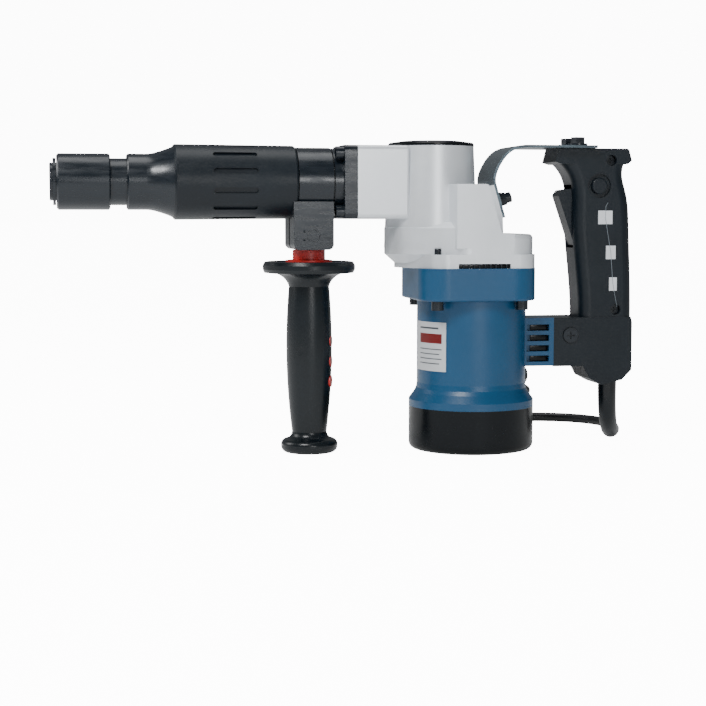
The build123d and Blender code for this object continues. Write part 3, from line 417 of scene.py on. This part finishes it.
def vent_painted_shade():
    """Dark blocks of painted shade in the side vents of the rear bracket, so that they read as openings."""
    for side, word in SIDES:
        low_y, high_y = between(side, *VENT_Y)
        for k in range(VENT_COUNT):
            z = VENT_Z + VENT_PITCH * k
            low = (VENT_X[0], low_y, z - VENT_HALF)
            block = rounded_block(low, (VENT_X[1], high_y, z + VENT_HALF), 0.0004)
            mesh_piece(f"bracket_vent_{k}_{word}", block, "cap_black")


def exhaust_fins_and_painted_shade():
    """In each exhaust cut-out over the motor flange, a dark plate of painted shade, with a row of fins."""
    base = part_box("gear_housing")[0].z
    for side, word in SIDES:
        low_y, high_y = between(side, *GRILLE_Y)
        low = (GRILLE_X[0], low_y, base + 0.0001)
        # The dark plate is painted shade at the back of the cut-out.
        shade_plate = rounded_block(low, (GRILLE_X[1], high_y, base + GRILLE_TOP), 0.0003)
        mesh_piece(f"exhaust_{word}", shade_plate, "cap_black")
        low_y, high_y = between(side, GRILLE_Y[1], FIN_OUT)
        for k in range(FIN_COUNT):
            x = FIN_X + FIN_PITCH * k
            low = (x, low_y, base + 0.0002)
            fin = rounded_block(low, (x + FIN_WIDTH, high_y, base + GRILLE_TOP - 0.0001), 0.0002)
            mesh_piece(f"exhaust_fin_{k}_{word}", fin, "plastic_black")


def clamp_marks():
    """Two moulded pips on each face of the clamp block."""
    block_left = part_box("side_clamp")[0].x
    pin_low, pin_high = (Vector(corner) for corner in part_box("clamp_pin"))
    for side, word in SIDES:
        y = pin_low.y if side < 0 else pin_high.y
        for k, z in enumerate((pin_low.z + 0.001, pin_high.z - 0.001)):
            pip = bmesh.new()
            bmesh.ops.create_uvsphere(pip, u_segments=20, v_segments=12, radius=0.0009)
            bmesh.ops.translate(pip, vec=(block_left + 0.0075, y - side * 0.0001, z), verts=pip.verts)
            mesh_piece(f"clamp_pip_{k}_{word}", pip, "plastic_black", body="side_clamp")


label_marks()
grip_bead()
vent_painted_shade()
exhaust_fins_and_painted_shade()
clamp_marks()


# ---- floor and light ----
def paper():
    """White paper that glows to the camera alone, so that the floor reads as white."""
    material, nodes, links, surface, place = shader("paper", (0.9, 0.9, 0.9), 0.9, 0.0)
    fine = noise(nodes, links, place, 300.0)
    white = tinted(nodes, links, fine.outputs["Fac"], (0.9, 0.9, 0.9), (0.94, 0.94, 0.94))
    links.new(white, surface.inputs["Base Color"])
    path = nodes.new("ShaderNodeLightPath")
    glow = nodes.new("ShaderNodeMapRange")
    glow.inputs["To Min"].default_value = 0.2
    glow.inputs["To Max"].default_value = 12.0
    links.new(path.outputs["Is Camera Ray"], glow.inputs["Value"])
    links.new(glow.outputs["Result"], surface.inputs["Emission Strength"])
    surface.inputs["Emission Color"].default_value = (1, 1, 1, 1)
    return material


def studio():
    """The floor, the surround and the lamps."""
    floor_data = bpy.data.meshes.new("floor")
    shape = bmesh.new()
    bmesh.ops.create_grid(shape, x_segments=2, y_segments=2, size=30)
    shape.to_mesh(floor_data)
    shape.free()
    floor = bpy.data.objects.new("floor", floor_data)
    bpy.context.collection.objects.link(floor)
    floor.data.materials.append(paper())
    sky()
    lamp("key", (-0.75, -1.0, 1.35), (0.0, 0.0, 0.14), 0.5, 26)
    lamp("front", (0.25, -2.2, 0.5), (0.05, 0.0, 0.12), 0.4, 9)
    lamp("rim_left", (-1.4, 0.4, 0.8), (0.0, 0.0, 0.14), 0.8, 10)
    lamp("top", (0.1, 0.2, 1.7), (0.0, 0.0, 0.1), 0.9, 9)


def sky():
    """White where the camera sees it, and a dimmer soft surround for the light that falls on the tool."""
    world = bpy.context.scene.world or bpy.data.worlds.new("world")
    bpy.context.scene.world = world
    world.use_nodes = True
    nodes, links = world.node_tree.nodes, world.node_tree.links
    seen, around = nodes["Background"], nodes.new("ShaderNodeBackground")
    seen.inputs["Strength"].default_value = 12.0
    seen.inputs["Color"].default_value = (1, 1, 1, 1)
    around.inputs["Strength"].default_value = 0.25
    around.inputs["Color"].default_value = (0.93, 0.97, 1, 1)
    path, mix = nodes.new("ShaderNodeLightPath"), nodes.new("ShaderNodeMixShader")
    links.new(path.outputs["Is Camera Ray"], mix.inputs["Fac"])
    links.new(around.outputs["Background"], mix.inputs[1])
    links.new(seen.outputs["Background"], mix.inputs[2])
    links.new(mix.outputs["Shader"], nodes["World Output"].inputs["Surface"])


def lamp(name, place, aim, size, power):
    """A square soft lamp, aimed at a place."""
    data = bpy.data.lights.new(name, "AREA")
    data.size = size
    data.energy = power
    light = bpy.data.objects.new(name, data)
    bpy.context.collection.objects.link(light)
    light.location = place
    light.rotation_euler = aimed(place, aim)


studio()
